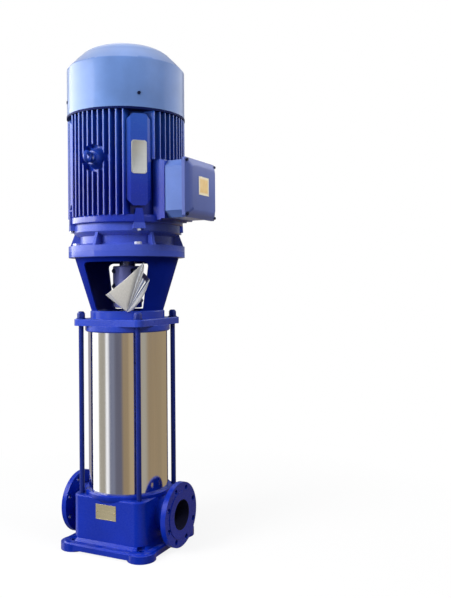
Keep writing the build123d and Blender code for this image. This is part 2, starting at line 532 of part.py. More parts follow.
def motor_inside():
    """Stator, windings, rotor, shaft and rolling bearings."""
    PARTS["stator_core"] = ring(FRAME_INNER_R, STATOR_INNER_R, STATOR_BOTTOM, STATOR_TOP)
    ends = []
    for bottom, top in ((STATOR_BOTTOM - 42, STATOR_BOTTOM), (STATOR_TOP, STATOR_TOP + 42)):
        ends.append(ring(148, 110, bottom, top))
    PARTS["stator_windings"] = ends
    seat = BEARING_SEAT_R
    end_rings = ring(98, 60, STATOR_BOTTOM - 14, STATOR_TOP + 14)
    PARTS["rotor_core"] = ring(ROTOR_R, 36, STATOR_BOTTOM, STATOR_TOP) + end_rings
    PARTS["motor_shaft"] = turned((0, SHAFT_MEETING_Z + 2), (MOTOR_SHAFT_R, SHAFT_MEETING_Z + 2),
                                  (MOTOR_SHAFT_R, 1030), (seat, 1030), (seat, 1067), (36, 1067),
                                  (36, 1422), (seat, 1422), (seat, 1462), (24, 1462), (24, 1552), (0, 1552))
    outer, inner, balls = [], [], []
    for middle in (1051.5, 1439.5):
        bottom, top = middle - 15.5, middle + 15.5
        outer.append(ring(65, 54, bottom, top) - Pos(0, 0, middle) * Torus(47.5, 11 + GAP))
        inner.append(ring(41, seat, bottom, top) - Pos(0, 0, middle) * Torus(47.5, 11))
        for step in range(8):
            balls.append(Pos(47.5 * cos(pi / 4 * step), 47.5 * sin(pi / 4 * step), middle) * Sphere(11))
    PARTS["bearing_outer_rings"] = outer
    PARTS["bearing_inner_rings"] = inner
    PARTS["bearing_balls"] = balls


def non_drive_end_shield():
    """End shield below the fan, with its joint ring standing proud as a dark rim under the fan cover."""
    rim_r = COVER_R + 1.5
    return turned((FRAME_INNER_R, FRAME_TOP - 5), (FRAME_INNER_R, FRAME_TOP), (rim_r, FRAME_TOP),
                  (rim_r, COVER_BOTTOM), (150, COVER_BOTTOM), (84, COVER_BOTTOM + 8), (38, COVER_BOTTOM + 8),
                  (38, 1456), (65, 1456), (65, 1420), (82, 1420), (84, 1452), (148, 1450),
                  (150, FRAME_TOP - 5))


def cooling_fan():
    """Radial fan: hub, disc and straight blades."""
    body = ring(36, 24, 1500, 1548) + ring(185, 30, 1500, 1504)
    for step in range(7):
        body += Rot(0, 0, 360 / 7 * step) * block(60, 183, -2, 2, 1503, 1546)
    return body


def fan_cover():
    """Sheet cover: a straight skirt, a domed top with one crease and radial air slots in the crown."""
    crease = (160.3, 1667.4)
    lower_middle, upper_middle = (180.6, 1647.5), (127.1, 1691.7)

    def inward(point, offset):
        return point[0] - offset * point[0] / COVER_R, point[1] - offset

    def shell(offset):
        outer_r, peak_z = COVER_R - offset, COVER_PEAK_Z - offset
        crown = inward((COVER_CROWN_R, COVER_CROWN_Z), offset)
        fold = inward(crease, offset)
        lower = ThreePointArc((outer_r, COVER_SHOULDER), inward(lower_middle, offset), fold)
        upper = ThreePointArc(fold, inward(upper_middle, offset), crown)
        low = COVER_BOTTOM if offset == 0 else COVER_BOTTOM - 1
        sides = Polyline(crown, (0, peak_z), (0, low), (outer_r, low), (outer_r, COVER_SHOULDER))
        return revolve(Plane.XZ * make_face([lower, upper, sides]), Axis.Z)

    body = shell(0) - shell(COVER_SHELL)
    for count, inner, outer in ((24, 52, 90), (12, 18, 44)):
        slot = Pos((inner + outer) / 2, 0, COVER_PEAK_Z - 6) * Box(outer - inner, 6, 50)
        for step in range(count):
            body -= Rot(0, 0, 360 / count * step) * slot
    screws = []
    for step in range(4):
        turn = at_azimuth(45 + 90 * step, Pos(0, -COVER_R, 1511) * Rot(90, 0, 0) * Cylinder(3, 14))
        body -= turn
        screw = Pos(0, -COVER_R + 1, 1511) * Rot(90, 0, 0) * Cylinder(3, 8)
        head = Pos(0, -COVER_R - 1.5, 1511) * Rot(90, 0, 0) * Cylinder(5.5, 3)
        screws.append(at_azimuth(45 + 90 * step, screw + head))
    PARTS["fan_cover"] = body
    PARTS["fan_cover_screws"] = screws


def box_outline(half_y, bottom, top, corner):
    """The terminal box seen along X: a rectangle with cut corners."""
    return Plane.YZ * make_face(Polyline(
        (-half_y + corner, bottom), (half_y - corner, bottom), (half_y, bottom + corner),
        (half_y, top - corner), (half_y - corner, top), (-half_y + corner, top),
        (-half_y, top - corner), (-half_y, bottom + corner), close=True))


def terminal_box():
    """Box with cut corners, gasket, bevelled cover, screws, terminal board and blanking plugs."""
    wall, floor_t = 6.0, 8.0
    body = Pos(TBOX_BODY_X, 0, 0) * extrude(box_outline(TBOX_HALF_Y, TBOX_BOTTOM, TBOX_TOP, TBOX_CORNER),
                                            TBOX_RIM_X - TBOX_BODY_X)
    inside = box_outline(TBOX_HALF_Y - wall, TBOX_BOTTOM + wall, TBOX_TOP - wall, TBOX_CORNER)
    body -= Pos(TBOX_BODY_X + floor_t, 0, 0) * extrude(inside, 100)
    body -= block(TBOX_BODY_X - 1, TBOX_BODY_X + floor_t + 1, -40, 40, TBOX_BOTTOM + 60, TBOX_TOP - 60)
    plugs = []
    for x in (228, 258):
        axis_z = 1204 + (x - 243) * 1.6
        body -= Pos(x, TBOX_HALF_Y, axis_z) * Rot(90, 0, 0) * Cylinder(11, 20)
        stem = Pos(x, TBOX_HALF_Y - 3, axis_z) * Rot(90, 0, 0) * Cylinder(11, 6)
        head = Pos(x, TBOX_HALF_Y, axis_z) * Rot(-90, 0, 0) * extrude(RegularPolygon(15, 6), 9)
        plugs.append(stem + head)
    gasket_t = 1.0
    outline = box_outline(TBOX_HALF_Y, TBOX_BOTTOM, TBOX_TOP, TBOX_CORNER)
    gasket = Pos(TBOX_RIM_X, 0, 0) * extrude(outline, gasket_t)
    PARTS["terminal_gasket"] = gasket - Pos(TBOX_RIM_X - 1, 0, 0) * extrude(inside, 4)
    PARTS["terminal_box"] = body
    PARTS["cable_entry_plugs"] = plugs
    cover_x = TBOX_RIM_X + gasket_t
    low, high = TBOX_BOTTOM - 2, TBOX_TOP + 2
    cover = Pos(cover_x, 0, 0) * extrude(box_outline(TCOVER_HALF_Y, low, high, 6), TCOVER_FLANGE_T)
    outer = Pos(cover_x + TCOVER_FLANGE_T, 0, 0) * box_outline(TCOVER_HALF_Y - 1, low + 1, high - 1, 6)
    face = Pos(cover_x + TCOVER_FLANGE_T + TCOVER_RISE, 0, 0) * box_outline(
        TCOVER_HALF_Y - TCOVER_BEVEL, low + TCOVER_BEVEL, high - TCOVER_BEVEL, 6)
    cover += loft([outer, face])
    hollow = Pos(cover_x - 1, 0, 0) * extrude(box_outline(70, low + 34, high - 34, 14), TCOVER_FLANGE_T + 8)
    cover -= hollow
    screws = []
    for y, z in four_corners(TCOVER_HALF_Y - 9, (high - low) / 2 - 9):
        middle = (high + low) / 2
        head = Pos(cover_x + TCOVER_FLANGE_T + 3, y, z + middle) * Rot(0, 90, 0) * Cylinder(5, 5)
        cover -= Pos(cover_x + TCOVER_FLANGE_T + 12, y, z + middle) * Rot(0, 90, 0) * Cylinder(7, 23)
        screws.append(head)
    PARTS["terminal_cover"] = cover
    PARTS["terminal_cover_screws"] = screws
    board = block(215, 225, -34, 34, 1174, 1234)
    for y in (-22, 0, 22):
        for z in (1190, 1218):
            board += along_x(3, 225, 243, z, y) + along_x(6, 229, 234, z, y)
    PARTS["terminal_board"] = board


def nameplate():
    """Bare plate with cut corners on the pad between the front and right fins."""
    half_w, half_h, cut = 25.5, 54.0, 6.0
    middle = 1305.0
    face = Plane.XZ * make_face(Polyline(
        (-half_w + cut, -half_h), (half_w - cut, -half_h), (half_w, -half_h + cut),
        (half_w, half_h - cut), (half_w - cut, half_h), (-half_w + cut, half_h),
        (-half_w, half_h - cut), (-half_w, -half_h + cut), close=True))
    return at_azimuth(45, Pos(0, -PAD_DISTANCE, middle) * extrude(face, 1.2))


def document_pouch():
    """Flat pouch of papers that leans in the lantern window, its top corner tied to the flange."""
    lean, azimuth, distance, foot_z, thickness = 16.5, 33.0, 131.0, 799.0, 5.0
    outline = make_face(Polyline((57, 169), (77, 100), (2, 2), (-6, 2), (-72, 62), close=True))
    leaning = Pos(0, -distance, foot_z) * Rot(lean, 0, 0) * (Plane.XZ * outline)
    return at_azimuth(azimuth, extrude(leaning, thickness))


def build():
    """Makes every piece and writes one file for each node."""
    PARTS["base_casting"] = base_casting()
    base_fittings()
    barrel_and_rods()
    PARTS["head_casting"] = head_casting()
    bleed_valve()
    lower_bearing()
    stages()
    PARTS["outlet_guide"] = outlet_guide()
    pump_rotor()
    seal_fixed()
    lantern()
    coupling()
    PARTS["drive_end_shield"] = drive_end_shield()
    PARTS["motor_frame"] = motor_frame()
    motor_fasteners()
    motor_inside()
    PARTS["non_drive_end_shield"] = non_drive_end_shield()
    PARTS["cooling_fan"] = cooling_fan()
    fan_cover()
    terminal_box()
    PARTS["nameplate"] = nameplate()
    PARTS["document_pouch"] = document_pouch()
    os.makedirs("parts", exist_ok=True)
    for name, shape in PARTS.items():
        if isinstance(shape, list):
            shape = Compound(children=shape)
        export_step(shape, f"parts/{name}.step")
    print(len(PARTS), "nodes")


build()
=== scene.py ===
import json
import math

import bmesh
import bpy
import numpy as np
from mathutils import Matrix, Vector


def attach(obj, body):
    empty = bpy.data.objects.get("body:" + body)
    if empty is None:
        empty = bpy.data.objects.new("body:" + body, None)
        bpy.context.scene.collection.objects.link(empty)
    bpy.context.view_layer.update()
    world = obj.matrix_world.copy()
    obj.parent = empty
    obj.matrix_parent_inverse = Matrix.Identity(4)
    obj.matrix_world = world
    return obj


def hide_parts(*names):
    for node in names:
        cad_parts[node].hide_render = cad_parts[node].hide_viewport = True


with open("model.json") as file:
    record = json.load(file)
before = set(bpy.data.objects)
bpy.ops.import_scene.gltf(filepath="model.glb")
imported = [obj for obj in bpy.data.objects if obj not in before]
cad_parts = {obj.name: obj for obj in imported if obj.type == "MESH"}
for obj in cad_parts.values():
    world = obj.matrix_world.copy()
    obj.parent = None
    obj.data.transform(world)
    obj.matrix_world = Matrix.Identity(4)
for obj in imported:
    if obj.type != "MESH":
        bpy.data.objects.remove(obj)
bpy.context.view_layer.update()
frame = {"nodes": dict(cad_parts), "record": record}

# Vertical in-line multistage pump: its paint, metals, plates, fasteners and the document pouch.
# Metres, +Z up along the shaft, Z = 0 under the feet, X along the ports and -Y the front. Turned
# forms, plates and the pouch are worked out in millimetres, and become metres with their mesh.
# An azimuth is counted from -Y towards +X, in degrees.

MM = 0.001
UP = (0, 0, 1)


def new_object(name, data):
    """An object at the origin, linked into the scene."""
    made = bpy.data.objects.new(name, data)
    bpy.context.scene.collection.objects.link(made)
    return made


def facing(azimuth, elevation=0.0):
    """Unit vector that points away from the shaft at an azimuth and an elevation."""
    turn, rise = math.radians(azimuth), math.radians(elevation)
    level = math.cos(rise)
    return Vector((math.sin(turn) * level, -math.cos(turn) * level, math.sin(rise)))


# Camera at the photograph's viewing angle

VIEW_AZIMUTH = 33.3
VIEW_DISTANCE = 2.541
VIEW_HEIGHT = 0.900
VIEW_YAW = 7.73
VIEW_ROLL = 0.4
LENS_MM = 43.46
SENSOR_MM = 36
HORIZON_SHIFT = -0.0293


def photograph_camera():
    """Level camera that looks past the pump, so that the pump stands left of the middle."""
    lens = bpy.data.cameras.new("photograph_camera")
    lens.lens, lens.sensor_width = LENS_MM, SENSOR_MM
    lens.shift_y = HORIZON_SHIFT
    lens.clip_start, lens.clip_end = 0.05, 100
    yaw, roll = math.radians(VIEW_YAW), math.radians(VIEW_ROLL)
    inward = -facing(VIEW_AZIMUTH)
    sideways = facing(VIEW_AZIMUTH + 90)
    ahead = inward * math.cos(yaw) + sideways * math.sin(yaw)
    level = sideways * math.cos(yaw) - inward * math.sin(yaw)
    up = Vector(UP)
    right = level * math.cos(roll) - up * math.sin(roll)
    above = up * math.cos(roll) + level * math.sin(roll)
    turn = Matrix((right, above, -ahead)).transposed().to_4x4()
    place = facing(VIEW_AZIMUTH) * VIEW_DISTANCE + up * VIEW_HEIGHT
    camera = new_object("photograph_camera", lens)
    camera.matrix_world = Matrix.Translation(place) @ turn
    bpy.context.scene.camera = camera


photograph_camera()


# Shader maths

class Wire:
    """A shader socket that takes part in sums as a number does."""

    def __init__(self, finish, socket):
        self.finish, self.socket = finish, socket

    def maths(self, operation, *values):
        return self.finish.node("ShaderNodeMath", {"operation": operation}, dict(enumerate(values)))

    def __add__(self, other):
        return self.maths("ADD", self, other)

    def __sub__(self, other):
        return self.maths("SUBTRACT", self, other)

    def __rsub__(self, other):
        return self.maths("SUBTRACT", other, self)

    def __mul__(self, other):
        return self.maths("MULTIPLY", self, other)

    def __truediv__(self, other):
        return self.maths("DIVIDE", self, other)

    def __pow__(self, other):
        return self.maths("POWER", self, other)

    def __abs__(self):
        return self.maths("ABSOLUTE", self)

    __radd__, __rmul__ = __add__, __mul__


def larger(first, second):
    """The larger of two sockets."""
    return first.maths("MAXIMUM", first, second)


def length(first, second):
    """Distance from the origin of a point with two coordinates."""
    return (first * first + second * second) ** 0.5


# The span of values that fractal noise mostly keeps to
NOISE_SPAN = (0.3, 0.7)


class Finish:
    """The node tree of one material or of the world."""

    def __init__(self, owner):
        owner.use_nodes = True
        self.owner, self.tree = owner, owner.node_tree
        self.tree.nodes.clear()

    def node(self, kind, settings=None, sockets=None, give=0):
        """Adds a node, sets it, feeds its sockets with values or links, and gives one of its outputs."""
        made = self.tree.nodes.new(kind)
        for name, value in (settings or {}).items():
            if name == "stops":
                ramp = made.color_ramp.elements
                while len(ramp) < len(value):
                    ramp.new(0.5)
                for element, (place, colour) in zip(ramp, value):
                    element.position, element.color = place, colour
            else:
                setattr(made, name, value)
        for name, value in (sockets or {}).items():
            if isinstance(value, Wire):
                self.tree.links.new(value.socket, made.inputs[name])
            else:
                made.inputs[name].default_value = value
        return Wire(self, made.outputs[give]) if len(made.outputs) else None

    def place(self):
        """Object coordinates, which are metres in the shared frame."""
        return self.node("ShaderNodeTexCoord", give="Object")

    def stretched(self, scale):
        """Object coordinates scaled along each axis."""
        return self.node("ShaderNodeMapping", {}, {"Vector": self.place(), "Scale": scale})

    def axis(self, letter, vector=None):
        """One coordinate of a vector, or of the place on the object."""
        return self.node("ShaderNodeSeparateXYZ", {}, {"Vector": vector or self.place()}, give=letter)

    def noise(self, scale, detail=3.0, roughness=0.5, where=None):
        """Fractal noise from 0 to 1 at so many cells a metre."""
        return self.node("ShaderNodeTexNoise", {}, {"Vector": where or self.place(), "Scale": scale,
                                                    "Detail": detail, "Roughness": roughness})

    def wave(self, direction, scale, distortion=0.0, detail=0.0, where=None):
        """Even bands along an axis, from 0 to 1."""
        return self.node("ShaderNodeTexWave", {"wave_type": "BANDS", "bands_direction": direction},
                         {"Vector": where or self.place(), "Scale": scale, "Distortion": distortion,
                          "Detail": detail})

    def limit(self, value, low, high, out_low=0.0, out_high=1.0):
        """Maps a span of a value onto another span and clamps it."""
        return self.node("ShaderNodeMapRange", {"clamp": True}, {
            "Value": value, "From Min": low, "From Max": high, "To Min": out_low, "To Max": out_high})

    def mix(self, factor, first, second):
        """Colour mix by a factor."""
        return self.node("ShaderNodeMix", {"data_type": "RGBA"}, {0: factor, 6: first, 7: second}, give=2)

    def clouded(self, pattern, colour, darker, lighter):
        """A colour that wanders between two tints of itself with a pattern."""
        return self.mix(self.limit(pattern, *NOISE_SPAN), tint(colour, darker), tint(colour, lighter))

    def bump(self, height, distance, strength, under=None):
        """A bump of so many metres for a height of 1."""
        sockets = {"Height": height, "Distance": distance, "Strength": strength}
        if under is not None:
            sockets["Normal"] = under
        return self.node("ShaderNodeBump", {}, sockets)

    def surface(self, **sockets):
        """Ends the tree in one principled shader."""
        named = {name.replace("_", " "): value for name, value in sockets.items()}
        shader = self.node("ShaderNodeBsdfPrincipled", {}, named)
        self.node("ShaderNodeOutputMaterial", {}, {"Surface": shader})
        return self.owner


def new_finish(name):
    return Finish(bpy.data.materials.new(name))


def tint(colour, factor):
    """A colour made lighter or darker, with its alpha of 1."""
    return tuple(min(1.0, channel * factor) for channel in colour) + (1.0,)


# Finishes. Pattern sizes are in cells a metre, and depths of grain in metres.

# Wander of the paint's colour, sparkle of its gloss, orange peel, cast grain and settled dust
DRIFT_CELLS, FLECK_CELLS, PEEL_CELLS, CAST_CELLS, DUST_CELLS = 7, 420, 190, 60, 38
BAND_CELLS = 9
DUST_SHARE = 0.16
DUST = (0.42, 0.45, 0.55, 1)
# Near-black iron for the inside of a bore: raw iron darkened with painted shade
SHADED_BORE_IRON = (0.018, 0.018, 0.045, 1)
# How far outside a bore's radius the paint begins and is whole
PAINT_STARTS, PAINT_WHOLE = 0.0002, 0.0006


def enamel(name, colour, grain=0.00007, rough=0.27, coat=0.1, haze=0.0, gloss=0.32, bands=(),
           band_coat=0.0, bore=None):
    """Sprayed machine enamel: its colour drifts a little, it has orange peel over faint cast grain,
    ledges hold a film of dust, and haze is a chalky sheen towards the edges. Bands are rows of a
    start height, an end height, a wander and the colour that the paint drifts to between them, and
    band_coat is the clear coat that they add. Bore is the height and radius of a passage along X,
    inside which the paint gives way to raw iron, darkened to near black as painted shade in the passage."""
    paint = new_finish(name)
    upward = paint.axis("Z", paint.node("ShaderNodeNewGeometry", give="Normal"))
    dust = paint.limit(upward, 0.75, 1.0) * paint.limit(paint.noise(DUST_CELLS, 5), 0.42, 0.75)
    dust = dust * DUST_SHARE
    shade = paint.clouded(paint.noise(DRIFT_CELLS, 4), colour, 0.86, 1.16)
    for start, end, wander, other in bands:
        height = paint.axis("Z") + paint.noise(BAND_CELLS, 3) * wander
        band = paint.limit(height, start, end)
        shade = paint.mix(band, shade, other + (1.0,))
        if band_coat:
            coat = band * band_coat + coat
    shade = paint.mix(dust, shade, DUST)
    # Inside the bore the colour turns near-black: raw iron with painted shade of the passage
    if bore is not None:
        axis_height, radius = bore
        out = length(paint.axis("Y"), paint.axis("Z") - axis_height)
        inside = paint.limit(out, radius + PAINT_WHOLE, radius + PAINT_STARTS)
        shade = paint.mix(inside, shade, SHADED_BORE_IRON)
    fleck = paint.limit(paint.noise(FLECK_CELLS, 2), 0.2, 0.8, rough - 0.05, rough + 0.07)
    cast = paint.bump(paint.noise(CAST_CELLS, 3), grain * 2.5, 0.5)
    peel = paint.bump(paint.noise(PEEL_CELLS, 2), grain, 0.5, cast)
    return paint.surface(
        Base_Color=shade, Roughness=fleck + dust, Normal=peel, Coat_Weight=coat, Coat_Roughness=0.1,
        Specular_IOR_Level=gloss, Sheen_Weight=haze, Sheen_Roughness=0.45)


STREAK_CELLS, STAIN_CELLS, STREAK_DEPTH = 90, 11, 0.00004


def metal(name, colour, rough=0.3, spread=0.08, scale=(1, 1, 1), bare_share=1.0):
    """Bare metal whose roughness and tone vary along a grain direction."""
    bare = new_finish(name)
    streak = bare.noise(STREAK_CELLS, 5, 0.6, bare.stretched(scale))
    shade = bare.clouded(bare.noise(STAIN_CELLS, 3), colour, 0.9, 1.06)
    shade = bare.mix(bare.limit(streak, 0.35, 0.65) * 0.35, shade, tint(colour, 0.8))
    return bare.surface(Base_Color=shade, Metallic=bare_share,
                        Roughness=bare.limit(streak, *NOISE_SPAN, rough - spread, rough + spread),
                        Normal=bare.bump(streak, STREAK_DEPTH, 0.5))


WARM_STEEL, COOL_STEEL = (0.88, 0.87, 0.85, 1), (0.79, 0.79, 0.79, 1)


def mirror_stainless(name):
    """Polished stainless tube: fine lengthwise draw lines widen its reflections, and the wall is
    faintly wavy round its girth."""
    steel = new_finish(name)
    lines = steel.noise(520, 3, 0.6, steel.stretched((1, 1, 0.01)))
    broad = steel.noise(26, 2, 0.5, steel.stretched((1, 1, 0.03)))
    marks = steel.limit(steel.noise(60, 6, 0.7), 0.55, 0.8, 0, 0.05)
    shade = steel.mix(steel.limit(broad, 0.35, 0.65), WARM_STEEL, COOL_STEEL)
    girth = steel.bump(broad, 0.0006, 0.35)
    return steel.surface(
        Base_Color=shade, Metallic=1.0, Roughness=steel.limit(lines, *NOISE_SPAN, 0.09, 0.16) + marks,
        Normal=steel.bump(lines, 0.00002, 0.4, girth))


def moulded(name, colour, rough=0.5, cells=300, grain=0.00006):
    """Moulded plastic, rubber or ceramic with fine pitting."""
    made = new_finish(name)
    pits = made.noise(cells, 3)
    shade = made.clouded(made.noise(16, 3), colour, 0.86, 1.14)
    return made.surface(
        Base_Color=shade, Roughness=made.limit(pits, *NOISE_SPAN, rough - 0.06, rough + 0.08),
        Normal=made.bump(pits, grain, 0.6))


def layered(name, wave, dark, light, rough, depth, strength, bare_share=0.0):
    """Layers along the shaft, such as turns of wire or stacked sheet, dark at their joints. The wave
    is its scale, distortion and detail."""
    made = new_finish(name)
    layers = made.wave("Z", *wave)
    return made.surface(Base_Color=made.mix(layers, dark, light), Metallic=bare_share,
                        Roughness=rough, Normal=made.bump(layers, depth, strength))


ROYAL = (0.0026, 0.0235, 0.36)
# Lighter copies of ROYAL: painted light on the better-lit shields, motor flange, head and lantern flanges
LIT_SHIELD_BLUE = (0.046, 0.078, 0.45)
LIT_HEAD_BLUE = (0.022, 0.052, 0.41)
FRAME_BLUE = (0.008, 0.024, 0.31)
MISTED_BLUE = (0.020, 0.082, 0.40)
# ROYAL made darker for the lantern: painted shade on its cone, which faces down under the motor flange
SHADED_LANTERN_ROYAL = (0.0035, 0.0145, 0.225)
SKY = (0.098, 0.19, 0.45)
BOX_BLUE = (0.088, 0.165, 0.48)
COVER_BLUE = (0.075, 0.11, 0.36)
ROD_BLUE = (0.009, 0.021, 0.19)
NUT_BLUE = (0.010, 0.026, 0.21)
# Near-black navy for the end shield's rim: painted shadow of the gap under the fan cover's edge
SHADOWED_RIM_NAVY = (0.004, 0.008, 0.06)
DARK_COPPER, COPPER = (0.16, 0.045, 0.012, 1), (0.52, 0.19, 0.06, 1)
SHEET_JOINT, SHEET_EDGE = (0.1, 0.1, 0.105, 1), (0.36, 0.36, 0.37, 1)

PORT_BORE = (0.117, 0.050)
FRAME_OVERSPRAY = [(1.24, 1.50, 0.06, MISTED_BLUE)]
# The lantern's flange and lower ring take the lighter tones of shield and head, so only its cone carries
# the painted shade
LANTERN_FLANGES = [(0.982, 0.985, 0.0, LIT_SHIELD_BLUE), (0.8045, 0.8030, 0.0, LIT_HEAD_BLUE)]

FINISHES = {
    "blue_casting": enamel("blue_casting", ROYAL, coat=0.05, gloss=0.22, bore=PORT_BORE),
    # Head and shield take the lighter copies of the royal paint: painted light
    "blue_head": enamel("blue_head", LIT_HEAD_BLUE),
    # The lantern in a darker copy of the royal paint: painted shade
    "blue_lantern": enamel("blue_lantern", SHADED_LANTERN_ROYAL, rough=0.6, coat=0.0, gloss=0.02,
                           bands=LANTERN_FLANGES, band_coat=0.6),
    "blue_shield": enamel("blue_shield", LIT_SHIELD_BLUE, haze=0.15),
    "blue_frame": enamel("blue_frame", FRAME_BLUE, rough=0.24, coat=0.2, gloss=0.45,
                         bands=FRAME_OVERSPRAY),
    "blue_rod": enamel("blue_rod", ROD_BLUE, 0.00003, coat=0.0, gloss=0.18),
    "blue_nut": enamel("blue_nut", NUT_BLUE, 0.00003),
    # The shield's rim in near-black navy: painted shadow under the fan cover
    "dark_rim": enamel("dark_rim", SHADOWED_RIM_NAVY, 0.00005, 0.5, coat=0.0, gloss=0.06),
    "blue_cover": enamel("blue_cover", SKY, 0.00003, 0.38, coat=0.3, haze=0.7),
    "blue_box": enamel("blue_box", BOX_BLUE, 0.00004, 0.3, coat=0.2, haze=0.3),
    "blue_box_cover": enamel("blue_box_cover", COVER_BLUE, 0.00004, 0.36, coat=0.15, haze=0.15),
    "polished_stainless": mirror_stainless("polished_stainless"),
    "stage_stainless": metal("stage_stainless", (0.6, 0.61, 0.62), 0.32),
    "impeller_stainless": metal("impeller_stainless", (0.68, 0.69, 0.7), 0.28),
    # Shaft steel dulled to a dark blue: painted shade under the motor flange
    "shaft_steel": metal("shaft_steel", (0.24, 0.25, 0.40), 0.28, 0.06, (0.2, 0.2, 6.0),
                         bare_share=0.6),
    "coupling_steel": metal("coupling_steel", (0.20, 0.22, 0.55), 0.36, 0.08, (0.3, 0.3, 4.0),
                            bare_share=0.3),
    "bearing_steel": metal("bearing_steel", (0.6, 0.6, 0.61), 0.14, 0.05),
    "zinc_fastener": metal("zinc_fastener", (0.80, 0.82, 0.86), 0.30, 0.1, bare_share=0.5),
    "dark_fastener": metal("dark_fastener", (0.04, 0.05, 0.11), 0.42),
    "brass_plate": metal("brass_plate", (0.47, 0.41, 0.26), 0.26, 0.08, (0.15, 1, 3.0),
                         bare_share=0.6),
    "brass_fitting": metal("brass_fitting", (0.72, 0.52, 0.22), 0.28),
    "brass_screw": metal("brass_screw", (0.76, 0.57, 0.27), 0.24),
    "bearing_bronze": metal("bearing_bronze", (0.5, 0.33, 0.17), 0.36),
    "bare_nameplate": metal("bare_nameplate", (0.60, 0.61, 0.57), 0.36, 0.08, (0.2, 0.2, 5.0),
                            bare_share=0.4),
    "electrical_steel": layered("electrical_steel", (320, 0.3, 1), SHEET_JOINT, SHEET_EDGE, 0.45,
                                0.00012, 0.6, bare_share=0.85),
    "winding": layered("winding", (90, 6, 3), DARK_COPPER, COPPER, 0.32, 0.0004, 0.7),
    "gasket": moulded("gasket", (0.02, 0.02, 0.02), 0.7),
    "seal_graphite": moulded("seal_graphite", (0.035, 0.035, 0.04), 0.42),
    "seal_ceramic": moulded("seal_ceramic", (0.8, 0.78, 0.73), 0.18, 90, 0.00001),
    "fan_plastic": moulded("fan_plastic", (0.02, 0.02, 0.022)),
    "plug_plastic": moulded("plug_plastic", (0.025, 0.025, 0.03)),
    "board_plastic": moulded("board_plastic", (0.18, 0.07, 0.03), 0.4),
}

node_slot = {row["node"]: row["material_slot"] for row in frame["record"]["subparts"]}
for node_name, node in frame["nodes"].items():
    finish = FINISHES.get(node_slot[node_name])
    if finish is not None:
        node.data.materials.clear()
        node.data.materials.append(finish)


# Pieces made from grids of points

# Edges flatter than this, in degrees, are shaded smooth
SMOOTH_BELOW = 35.0


def make_piece(name, vertices, faces, material, body, smooth_below=SMOOTH_BELOW, uv=None):
    """Puts an array of points and a list of faces into a mesh at the origin that rides on a body."""
    mesh = bpy.data.meshes.new(name)
    mesh.from_pydata(vertices.tolist(), [], faces)
    if uv is not None:
        layer = mesh.uv_layers.new(name="laid_flat")
        corners = np.zeros(len(mesh.loops), np.int32)
        mesh.loops.foreach_get("vertex_index", corners)
        layer.data.foreach_set("uv", uv[corners].astype(np.float32).ravel())
    mesh.polygons.foreach_set("use_smooth", np.ones(len(mesh.polygons), bool))
    mesh.update()
    mesh.set_sharp_from_angle(angle=math.radians(smooth_below))
    mesh.materials.append(material)
    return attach(new_object(name, mesh), body)


def grid_faces(rows, columns, closed=False):
    """Quads between neighbouring points of a grid, whose last column meets its first where closed."""
    i, j = np.meshgrid(np.arange(rows - 1), np.arange(columns if closed else columns - 1), indexing="ij")
    low, high, right = i * columns, (i + 1) * columns, (j + 1) % columns
    return np.stack([low + j, low + right, high + right, high + j], -1).reshape(-1, 4)


def frame_along(axis):
    """Two unit vectors square to an axis, as rows with the axis itself third."""
    third = np.array(axis, float) / np.linalg.norm(axis)
    helper = np.array([0, 0, 1.0]) if abs(third[2]) < 0.9 else np.array([1.0, 0, 0])
    first = np.cross(helper, third)
    first /= np.linalg.norm(first)
    return np.stack([first, np.cross(third, first), third])


def hexagon_radius(turn):
    """Radius of a hexagon of corner radius 1 at an angle: cos 30 over the cosine to the nearest flat."""
    return math.cos(math.pi / 6) / np.cos(np.mod(turn, math.pi / 3) - math.pi / 6)


def spun(profile, columns, spin):
    """Points of a profile of (radius, height, share of hexagon) rows carried round an axis. A row with
    share 1 is a hexagon, with 0 a circle, and the rings between blend the two."""
    rows = np.array(profile, float)
    turn = np.linspace(0, 2 * math.pi, columns, endpoint=False)
    radius = rows[:, 0:1] * (1 + rows[:, 2:3] * (hexagon_radius(turn)[None, :] - 1))
    height = np.repeat(rows[:, 1:2], columns, 1)
    points = np.stack([radius * np.cos(turn + spin), radius * np.sin(turn + spin), height], -1)
    return points.reshape(-1, 3), grid_faces(len(rows), columns, closed=True)


def several(name, profile, places, axes, material, replaced=(), columns=48, spins=None):
    """One piece of many equal turned forms, each at a place, along an axis and turned by its spin."""
    points, faces, count = [], [], 0
    for place, axis, spin in zip(places, axes, spins or [0.0] * len(places)):
        form, quads = spun(profile, columns, spin)
        points.append(np.array(place, float) + form @ frame_along(axis))
        faces.append(quads + count)
        count += len(form)
    piece = make_piece(name, np.concatenate(points) * MM, np.concatenate(faces).tolist(), material,
                       "pump")
    if replaced:
        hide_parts(*replaced)
    return piece


# Radius of the hole at a pole, in millimetres, which is too small to show
POLE = 0.01
# Distance to the flats of a hexagon of corner radius 1
FLAT_SHARE = 0.866


def hexagon_head(corner_r, height, washer_r=0.0, washer_t=0.0):
    """Profile of a hexagon head: a washer, straight flats, a turned chamfer and a shallow dished top."""
    rows, edge, chamfer, dish = [(POLE, 0, 0)], 0.4, 1.6, 0.3
    if washer_r:
        rows += [(washer_r - edge, 0, 0), (washer_r, edge, 0), (washer_r, washer_t - edge, 0),
                 (washer_r - edge, washer_t, 0), (corner_r * 0.9, washer_t, 0)]
    flat_r, top = corner_r * FLAT_SHARE, washer_t + height
    return rows + [
        (corner_r - edge / 2, washer_t, 1), (corner_r, washer_t + edge, 1), (corner_r, top - chamfer, 1),
        (corner_r * 0.965, top - chamfer / 2, 0.62), (flat_r * 0.94, top, 0),
        (flat_r * 0.6, top - 0.25, 0), (POLE, top - dish, 0)]


